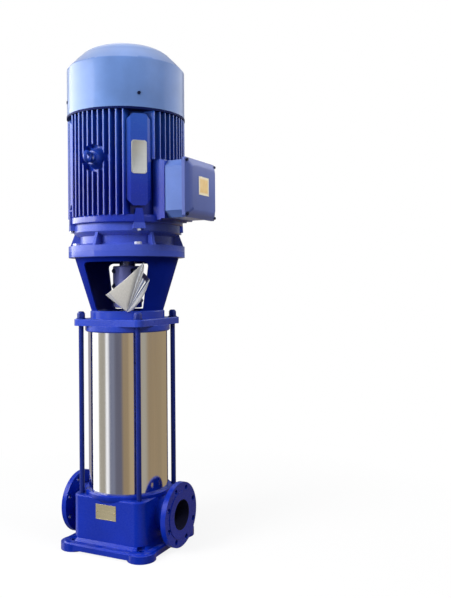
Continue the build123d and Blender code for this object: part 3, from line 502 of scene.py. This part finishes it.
def domed_nut(corner_r, height, washer_r, washer_t):
    """Profile of a cap nut: its washer and flats, and a dome in place of the flat top."""
    dome = [(11.6, 20, 0), (11.3, 21.5, 0), (10.3, 23.4, 0), (8.2, 25, 0), (5, 25.8, 0), (POLE, 26, 0)]
    return hexagon_head(corner_r, height, washer_r, washer_t)[:-3] + dome


def socket_head(radius, height, recess):
    """Profile of a round head with a hexagon socket in its top."""
    return [(POLE, 0, 0), (radius, 0, 0), (radius, height * 0.55, 0), (radius * 0.93, height * 0.85, 0),
            (radius * 0.78, height, 0), (recess * 1.06, height, 1), (recess, height - 0.2, 1),
            (recess, height * 0.35, 1), (POLE, height * 0.3, 0)]


def rivet_head(radius, height):
    """Profile of a domed rivet: a quarter of an ellipse on a short shank."""
    steps = np.radians(np.linspace(0, 90, 7))
    rows = [(POLE, -0.2, 0), (radius, -0.2, 0)]
    return rows + [(max(radius * math.cos(step), POLE), height * math.sin(step), 0) for step in steps]


def round_about(radius, azimuths, height):
    """Points on a circle about the shaft."""
    turn = np.radians(azimuths)
    return np.stack([radius * np.sin(turn), -radius * np.cos(turn), np.full(len(turn), height)], -1)


# Castings, covers and shafts of the solids, with edges rounded by so many millimetres
ROUNDING = {
    "base_casting": 1.6, "head_casting": 1.2, "tie_rods": 0, "lantern": 1.6, "drive_end_shield": 1.2,
    "motor_frame": 1.3, "non_drive_end_shield": 0.8, "fan_cover": 0, "lifting_eyebolt": 1.0,
    "terminal_box": 1.2, "terminal_cover": 1.2, "coupling_half_front": 0.8,
    "coupling_half_rear": 0.8, "pump_shaft": 0, "motor_shaft": 0, "seal_gland": 0.5,
    "bleed_valve_body": 0.4, "bleed_screw": 0.4, "drain_plug": 0.5, "cooling_fan": 0}

# Points nearer than the first join, and edges shorter than the second collapse, in millimetres
JOIN_WITHIN, COLLAPSE_BELOW = 0.004, 0.002
# Angles in degrees: faces this flat are one, smooth shading stops here, and edges from here are round
FLAT_BELOW, SHARP_FROM, ROUND_FROM = 0.3, 33.0, 38


def body_of_node(node_name):
    """The CAD body that a node belongs to."""
    bodies = frame["record"]["behaviour"]["bodies"]
    return next(body for body, members in bodies.items() if node_name in members)


def dressed(node_name, rounding):
    """A copy of a CAD node with its corners merged, its flat faces whole and its sharp edges rounded,
    shaded smooth between them and weighted by area."""
    name = node_name + "_dressed"
    mesh = frame["nodes"][node_name].data.copy()
    mesh.name = name
    build = bmesh.new()
    build.from_mesh(mesh)
    bmesh.ops.remove_doubles(build, verts=build.verts, dist=JOIN_WITHIN * MM)
    bmesh.ops.dissolve_degenerate(build, edges=build.edges, dist=COLLAPSE_BELOW * MM)
    if rounding:
        bmesh.ops.dissolve_limit(build, angle_limit=math.radians(FLAT_BELOW), verts=build.verts,
                                 edges=build.edges, delimit=set())
    build.to_mesh(mesh)
    build.free()
    mesh.polygons.foreach_set("use_smooth", np.ones(len(mesh.polygons), bool))
    mesh.set_sharp_from_angle(angle=math.radians(SHARP_FROM))
    piece = new_object(name, mesh)
    if rounding:
        edge = piece.modifiers.new("rounded_edges", "BEVEL")
        edge.width, edge.segments = rounding * MM, 2
        edge.limit_method, edge.angle_limit = "ANGLE", math.radians(ROUND_FROM)
        edge.use_clamp_overlap, edge.miter_outer = True, "MITER_ARC"
    weight = piece.modifiers.new("area_weight", "WEIGHTED_NORMAL")
    weight.keep_sharp, weight.weight = True, 60
    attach(piece, body_of_node(node_name))
    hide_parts(node_name)


for node_name, rounding in ROUNDING.items():
    dressed(node_name, rounding)


def barrel_tube():
    """Polished barrel: a closed profile of outer wall, rounded rims and inner wall carried round."""
    outer, inner, low, high, lip = 136.5, 133.5, 190.0, 739.0, 0.6
    heights = np.linspace(low + lip, high - lip, 24)
    rows = [(outer - lip, low, 0)] + [(outer, height, 0) for height in heights]
    rows += [(outer - lip, high, 0), (inner + lip, high, 0)]
    rows += [(inner, height, 0) for height in heights[::-1]]
    rows += [(inner + lip, low, 0), (outer - lip, low, 0)]
    several("barrel_tube", rows, [(0, 0, 0)], [UP], FINISHES["polished_stainless"], ["barrel"],
            columns=256)


barrel_tube()


# Fasteners with their real heads

# Azimuths of the four corners of the pump
CORNERS = [45, 135, 225, 315]
# The terminal box: its outer face along X and the height of its middle
BOX_FACE, BOX_MIDDLE = 291, 1204


def fasteners():
    """Hexagon, domed and socket heads over the plain ones of the solids."""
    upright, hanging = [UP] * 4, [(0, 0, -1)] * 4
    outward = [tuple(facing(azimuth)) for azimuth in CORNERS]
    zinc, dark = FINISHES["zinc_fastener"], FINISHES["dark_fastener"]
    rod, head_top = 114, 776
    several("tie_rod_domed_nuts", domed_nut(13.5, 17, 16, 3),
            [(x, y, head_top) for x in (-rod, rod) for y in (-rod, rod)], upright,
            FINISHES["blue_nut"], ["tie_rod_nuts"], spins=[0.2, 0.5, 0.1, 0.75])
    several("motor_flange_hexagons", hexagon_head(12.5, 10), round_about(175, CORNERS, 1022), upright,
            zinc, ["motor_flange_bolts"], spins=[0.1, 0.3, 0.7, 0.5])
    several("shield_hexagons", hexagon_head(6.5, 7), round_about(190.3, CORNERS, 1074), hanging,
            zinc, ["shield_screws"])
    several("lantern_hexagons", hexagon_head(10.5, 8), round_about(98, CORNERS, 790), upright,
            zinc, ["lantern_screws"], spins=[0.4, 0.1, 0.6, 0.9])
    several("fan_cover_heads", socket_head(5.5, 3, 2.4), round_about(202, CORNERS, 1511), outward,
            dark, ["fan_cover_screws"], columns=36)
    across, along = 97, 87
    several("terminal_cover_heads", socket_head(5, 5, 2.4),
            [(BOX_FACE, y, BOX_MIDDLE + z) for y in (-across, across) for z in (-along, along)],
            [(1, 0, 0)] * 4, dark, ["terminal_cover_screws"], columns=36)


fasteners()


# Plates and labels

def cut_corner_outline(half_w, half_h, cut):
    """Eight corners of a plate with its corners cut off."""
    return [(-half_w + cut, -half_h), (half_w - cut, -half_h), (half_w, -half_h + cut),
            (half_w, half_h - cut), (half_w - cut, half_h), (-half_w + cut, half_h),
            (-half_w, half_h - cut), (-half_w, -half_h + cut)]


def square_outline(half_w, half_h):
    """Four corners of a plate."""
    return [(-half_w, -half_h), (half_w, -half_h), (half_w, half_h), (-half_w, half_h)]


def bare_plate(name, outline, thickness, origin, across, along, material, replaced=()):
    """A thin plate with a raised rim: its outline in shrinking rings, low, high at the rim and
    slightly sunk inside it."""
    rim_width, edge_in, edge_down, slope, sunk = 1.6, 0.25, 0.2, 0.3, 0.25
    outline = np.array(outline, float)
    size = np.abs(outline).max(0)
    inner = outline * (1 - rim_width / size)
    rings = [(outline, 0.0), (outline, thickness - edge_down),
             (outline * (1 - edge_in / size), thickness), (inner, thickness),
             (inner * (1 - slope / size), thickness - sunk)]
    count = len(outline)
    flat = np.concatenate([np.concatenate([ring, np.full((count, 1), lift)], 1) for ring, lift in rings])
    faces = grid_faces(len(rings), count, closed=True).tolist()
    faces.append(list(range((len(rings) - 1) * count, len(rings) * count)))
    faces.append(list(range(count - 1, -1, -1)))
    basis = np.stack([np.array(across, float), np.array(along, float), np.cross(across, along)])
    points = np.array(origin, float) + flat @ basis
    piece = make_piece(name, points * MM, faces, material, "pump")
    if replaced:
        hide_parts(*replaced)


def rivets(name, places, out, radius, height, slot):
    """Domed rivet heads that point one way."""
    several(name, rivet_head(radius, height), places, [out] * len(places), FINISHES[slot],
            columns=20)


# Middle of the blank label on the terminal cover
LABEL_PLACE = (304, -4.5, 1214)


def label_finish():
    """Blank varnished paper: a warm yellow field that pales to a cream border and ages in clouds."""
    amber, yellow, cream = (0.86, 0.57, 0.20, 1), (0.94, 0.69, 0.30, 1), (0.97, 0.86, 0.62, 1)
    paper = new_finish("blank_label")
    across = abs(paper.axis("Y") - LABEL_PLACE[1] * MM)
    along = abs(paper.axis("Z") - LABEL_PLACE[2] * MM)
    border = larger(paper.limit(across, 0.025, 0.031), paper.limit(along, 0.020, 0.026))
    cloud = paper.noise(60, 4)
    shade = paper.mix(paper.limit(cloud, *NOISE_SPAN), amber, yellow)
    shade = paper.mix(border, shade, cream)
    return paper.surface(Base_Color=shade, Roughness=paper.limit(cloud, *NOISE_SPAN, 0.32, 0.45))


def plates():
    """Brass plate of the base, bare nameplate of the motor and blank label of the terminal box."""
    bare_plate("brass_base_plate", square_outline(40, 25), 1.5, (0, -139, 137), (1, 0, 0), UP,
               FINISHES["brass_plate"], ["base_plate"])
    rivets("base_plate_rivets", [(-35, -140.3, 137), (35, -140.3, 137)], (0, -1, 0), 2.4, 1.1,
           "brass_fitting")
    side, out = np.array(facing(135)), np.array(facing(45))
    origin = out * 197 + np.array([0, 0, 1305.0])
    bare_plate("motor_nameplate", cut_corner_outline(25.5, 54, 6), 1.2, origin, side, UP,
               FINISHES["bare_nameplate"], ["nameplate"])
    spots = [origin + out * 1.1 + side * x + np.array([0, 0, z]) for x in (-19, 19) for z in (-47, 47)]
    rivets("nameplate_rivets", spots, tuple(out), 1.8, 0.9, "zinc_fastener")
    bare_plate("blank_cover_label", square_outline(35, 30), 0.8, LABEL_PLACE, (0, 1, 0), UP,
               label_finish())


plates()


# Document pouch: one folded sheet that leans in the lantern window

# Corners of the sheet in its own plane: the lower tip, and the edge from the left corner over the
# fold, which is the highest point, and past the notch to the right corner and back
POUCH_TIP = (-2.0, 3.0)
POUCH_EDGE = [(-70, 62), (-38, 88), (-6, 115), (22, 142), (54, 173), (55, 153), (53, 138), (62, 127),
              (73, 114), (61, 76), (44, 41), (18, 7)]
FOLD_POINT, NOTCH_POINT, CORNER_POINT = 4, 6, 8
# The same three points as shares of the edge's length, which is the sheet's flat X, for its finish
POUCH_FOLD, POUCH_NOTCH, POUCH_CORNER = 0.472, 0.575, 0.66
# Azimuth, distance from the shaft and height of the foot, and how far the sheet leans, in degrees
POUCH_AZIMUTH, POUCH_OUT, POUCH_FOOT, POUCH_LEAN = 33.0, 131.0, 799.0, 16.5


def pouch_finish():
    """Milky film over paper: soft creases, painted shade that greys the sheet faintly and coolly towards
    the fold, a sealed double border and a painted shadow in the hollow of the flap, which follow the
    sheet's own flat coordinates."""
    # The shaded tone is painted shade towards the fold
    aged, milky, shaded = (0.58, 0.56, 0.51, 1), (0.74, 0.72, 0.68, 1), (0.24, 0.25, 0.28, 1)
    sealed, crest = (0.30, 0.34, 0.50, 1), (0.84, 0.84, 0.84, 1)
    # The near-black tone is a painted shadow in the flap's hollow
    see_through, hollow_shadow = (0.23, 0.27, 0.43, 1), (0.01, 0.012, 0.06, 1)
    film = new_finish("pouch_paper")
    flat = film.node("ShaderNodeUVMap", {"uv_map": "laid_flat"})
    across, along = film.axis("X", flat), film.axis("Y", flat)
    crease = film.noise(34, 5, 0.6, flat)
    seal = film.limit(film.wave("X", 14, where=flat), 0.45, 0.55)
    border = film.limit(across, 0.03, 0.05, 1, 0) * seal
    folds = film.limit(film.wave("X", 8, 0.5, 1, where=flat), 0.3, 0.6)
    flap = film.limit(across, POUCH_NOTCH - 0.01, POUCH_NOTCH) \
        * film.limit(across, POUCH_CORNER + 0.03, POUCH_CORNER + 0.08, 1, 0)
    hollow = flap * film.limit(along, 0.86, 0.9) \
        * film.limit(across, POUCH_CORNER - 0.02, POUCH_CORNER, 1, 0)
    shade = film.mix(film.limit(crease, *NOISE_SPAN), aged, milky)
    # Painted shade: the sheet turns a cool grey towards the fold
    shade = film.mix(film.limit(across, POUCH_FOLD - 0.15, POUCH_FOLD - 0.02), shade, shaded)
    shade = film.mix(border * 0.6, shade, sealed)
    shade = film.mix(film.limit(across, POUCH_FOLD - 0.012, POUCH_FOLD), shade, crest)
    shade = film.mix(flap * folds, shade, see_through)
    # Painted shadow in the hollow of the flap
    shade = film.mix(hollow, shade, hollow_shadow)
    return film.surface(Base_Color=shade, Roughness=film.limit(crease, *NOISE_SPAN, 0.3, 0.5),
                        Normal=film.bump(crease, 0.0008, 0.6), Coat_Weight=0.2)


def turned(points, first, second, degrees):
    """Points turned in the plane of two of their axes."""
    c, s = math.cos(math.radians(degrees)), math.sin(math.radians(degrees))
    result = points.copy()
    result[:, first] = points[:, first] * c - points[:, second] * s
    result[:, second] = points[:, first] * s + points[:, second] * c
    return result


def pouch_lift(uu, vv, fold, notch, corner):
    """How far the sheet stands out of its plane: a belly left of the fold, a crest along the fold,
    three ripples and a hollow in the flap from notch to corner, a curl beyond it and a slight sway."""
    belly = 3.0 * np.sin(math.pi * np.clip(uu / fold, 0, 1)) * np.sin(math.pi * (0.15 + 0.75 * vv))
    crest = 5.0 * np.exp(-((uu - fold) / 0.02) ** 2) * (0.35 + 0.65 * vv)
    flap = np.clip((uu - notch) / (corner - notch), 0, 1)
    beyond = np.clip((uu - corner) / (1 - corner), 0, 1)
    ripple = 2.6 * np.sin(3 * 2 * math.pi * flap) * vv * flap ** 0.5
    hollow = 8.0 * np.exp(-(((flap - 0.5) / 0.3) ** 2)) * np.clip((vv - 0.8) / 0.2, 0, 1) ** 1.5
    curl = 4.0 * beyond * vv ** 2
    sway = 0.8 * np.sin(6 * uu + 4 * vv) * vv
    return 1.0 + belly + crest + ripple - hollow - curl + sway


def pouch_sheet():
    """Fan about the lower tip: u turns from the left edge to the right edge and v runs from the tip to
    the upper edge. The fan lifts out of its plane, leans back, and turns to the window."""
    tip, edge = np.array(POUCH_TIP), np.array(POUCH_EDGE, float)
    steps = np.concatenate([[0], np.cumsum(np.linalg.norm(np.diff(edge, axis=0), axis=1))])
    steps /= steps[-1]
    u, v = np.linspace(0, 1, 110), np.linspace(0, 1, 40)
    rim = np.stack([np.interp(u, steps, edge[:, k]) for k in range(2)], -1)
    flat = tip + (rim[:, None, :] - tip) * (0.04 + 0.96 * v[None, :, None])
    uu, vv = np.meshgrid(u, v, indexing="ij")
    lift = pouch_lift(uu, vv, *steps[[FOLD_POINT, NOTCH_POINT, CORNER_POINT]])
    points = np.stack([flat[..., 0], -lift, flat[..., 1]], -1).reshape(-1, 3)
    points = turned(points, 1, 2, POUCH_LEAN) + np.array([0, -POUCH_OUT, POUCH_FOOT])
    points = turned(points, 0, 1, POUCH_AZIMUTH)
    faces = grid_faces(len(u), len(v))[:, ::-1].tolist()
    piece = make_piece("pouch_sheet", points * MM, faces, pouch_finish(), "pump", 60,
                       uv=np.stack([uu, vv], -1).reshape(-1, 2))
    wall = piece.modifiers.new("film_thickness", "SOLIDIFY")
    wall.thickness, wall.offset = 0.5 * MM, 0
    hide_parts("document_pouch")
    return piece


pouch = pouch_sheet()


# Floor, world and lamps

WHITE = (1, 1, 1, 1)


def white_floor():
    """Pale floor that runs on as the background: mostly plain white to the camera, with the shadow
    kept near the pump, and dim where it lights the pump from below."""
    half = 30.0
    # Out from the shaft, the share of plain white grows between these two distances
    near, far, near_share = 0.3, 1.5, 0.86
    bounced, seen_tone = (0.22, 0.22, 0.22, 1), (0.95, 0.95, 0.95, 1)
    mesh = bpy.data.meshes.new("pale_floor")
    mesh.from_pydata([(-half, -half, 0), (half, -half, 0), (half, half, 0), (-half, half, 0)], [],
                     [(0, 1, 2, 3)])
    floor = new_object("pale_floor", mesh)
    pale = new_finish("pale_floor")
    seen = pale.node("ShaderNodeLightPath", give="Is Camera Ray")
    plain = pale.limit(length(pale.axis("X"), pale.axis("Y")), near, far, near_share, 1.0)
    lit = pale.node("ShaderNodeBsdfDiffuse", {}, {"Color": pale.mix(seen, bounced, seen_tone)})
    glow = pale.node("ShaderNodeEmission", {}, {"Color": WHITE, "Strength": 1.0})
    shown = pale.node("ShaderNodeMixShader", {}, {0: seen * plain, 1: lit, 2: glow})
    pale.node("ShaderNodeOutputMaterial", {}, {"Surface": shown})
    mesh.materials.append(pale.owner)
    floor.visible_glossy = False


TAN = (0.47, 0.365, 0.225, 1)
SHADED_TAN = (0.37, 0.285, 0.175, 1)
DIM_TAN = (0.33, 0.25, 0.155, 1)
SLATE = (0.135, 0.135, 0.185, 1)
BLUE_GREY = (0.21, 0.225, 0.31, 1)
BEIGE = (0.42, 0.39, 0.33, 1)
MAUVE = (0.38, 0.35, 0.38, 1)
WHITE_LINE = (1.1, 1.1, 1.13, 1)
BRIGHT = (1.5, 1.5, 1.47, 1)
DUSK = (0.31, 0.34, 0.43, 1)
DIM_FLOOR = (0.16, 0.16, 0.19, 1)
SOFT_WHITE, SOFT_STRENGTH = (0.95, 0.96, 1.0, 1), 0.28

# Upright cards round the pump, by azimuth counted from the camera's: the tones that the barrel and
# the enamel reflect
RELATIVE_CARDS = [
    (-179, MAUVE), (-137, MAUVE), (-127, BRIGHT), (-98, BRIGHT), (-91, BEIGE), (-70, BEIGE),
    (-66, WHITE_LINE), (-61, WHITE_LINE), (-54, BLUE_GREY), (-42, BLUE_GREY), (-36, SLATE),
    (-20, SLATE), (-14, DIM_TAN), (-1, DIM_TAN), (5, TAN), (24, TAN), (42, BEIGE), (50, BEIGE),
    (60, DIM_TAN), (90, DIM_TAN), (120, SHADED_TAN), (160, DIM_TAN)]
# The same as places from 0 to 1 on a ramp that starts at -180 degrees
CARDS = sorted(((place + VIEW_AZIMUTH + 180) % 360 / 360, tone) for place, tone in RELATIVE_CARDS)


def studio_world():
    """White to the camera, even soft light for the shapes, and for the metals a studio of upright
    cards whose tone depends on the compass direction, with plain dusk above and a dim floor below."""
    world = bpy.data.worlds.new("studio")
    bpy.context.scene.world = world
    sky = Finish(world)
    ray = sky.node("ShaderNodeTexCoord", give="Generated")
    x, y, rise = (sky.axis(letter, ray) for letter in "XYZ")
    compass = x.maths("ARCTAN2", x, y * -1.0) / (2 * math.pi) + 0.5
    cards = sky.node("ShaderNodeValToRGB", {"stops": CARDS}, {"Fac": compass})
    cards = sky.mix(sky.limit(rise, -0.05, 0.04), cards, DUSK)
    cards = sky.mix(sky.limit(rise, -0.6, -0.42, 1, 0), cards, DIM_FLOOR)
    glossy = sky.node("ShaderNodeLightPath", give="Is Glossy Ray")
    camera = sky.node("ShaderNodeLightPath", give="Is Camera Ray")
    soft = sky.node("ShaderNodeBackground", {}, {"Color": SOFT_WHITE, "Strength": SOFT_STRENGTH})
    reflected = sky.node("ShaderNodeBackground", {}, {"Color": cards, "Strength": 1.0})
    white = sky.node("ShaderNodeBackground", {}, {"Color": WHITE, "Strength": 1.0})
    lit = sky.node("ShaderNodeMixShader", {}, {0: glossy, 1: soft, 2: reflected})
    shown = sky.node("ShaderNodeMixShader", {}, {0: camera, 1: lit, 2: white})
    sky.node("ShaderNodeOutputWorld", {}, {"Surface": shown})


def lamp(name, azimuth, elevation, distance, width, height, power, shows="diffuse", aim=0.95):
    """An area lamp of a width, a height and a power in watts, at an azimuth counted from the camera's,
    aimed at a height of the shaft. It lights either the paint itself or the gloss alone."""
    light = bpy.data.lights.new(name, "AREA")
    light.shape = "RECTANGLE"
    light.size, light.size_y = width, height
    light.energy = power
    holder = new_object(name, light)
    middle = Vector((0, 0, aim))
    holder.location = middle + facing(VIEW_AZIMUTH + azimuth, elevation) * distance
    holder.rotation_mode = "QUATERNION"
    holder.rotation_quaternion = (middle - holder.location).to_track_quat("-Z", "Y")
    holder.visible_glossy = shows == "gloss"
    holder.visible_diffuse = shows == "diffuse"
    holder.visible_camera = False


studio_world()
white_floor()
lamp("key_left", -58, 20, 2.8, 1.3, 2.4, 106)
lamp("upper_right", 56, 32, 2.4, 1.2, 1.0, 38, aim=1.4)
lamp("ceiling", -20, 76, 2.6, 1.6, 1.6, 14)
lamp("window_left", -100, 16, 2.6, 3.8, 1.5, 105, "gloss", aim=1.1)
lamp("window_right", 108, 24, 2.6, 3.0, 1.3, 19, "gloss", aim=1.2)

view = bpy.context.scene.view_settings
view.view_transform = "Standard"

bpy.context.view_layer.update()
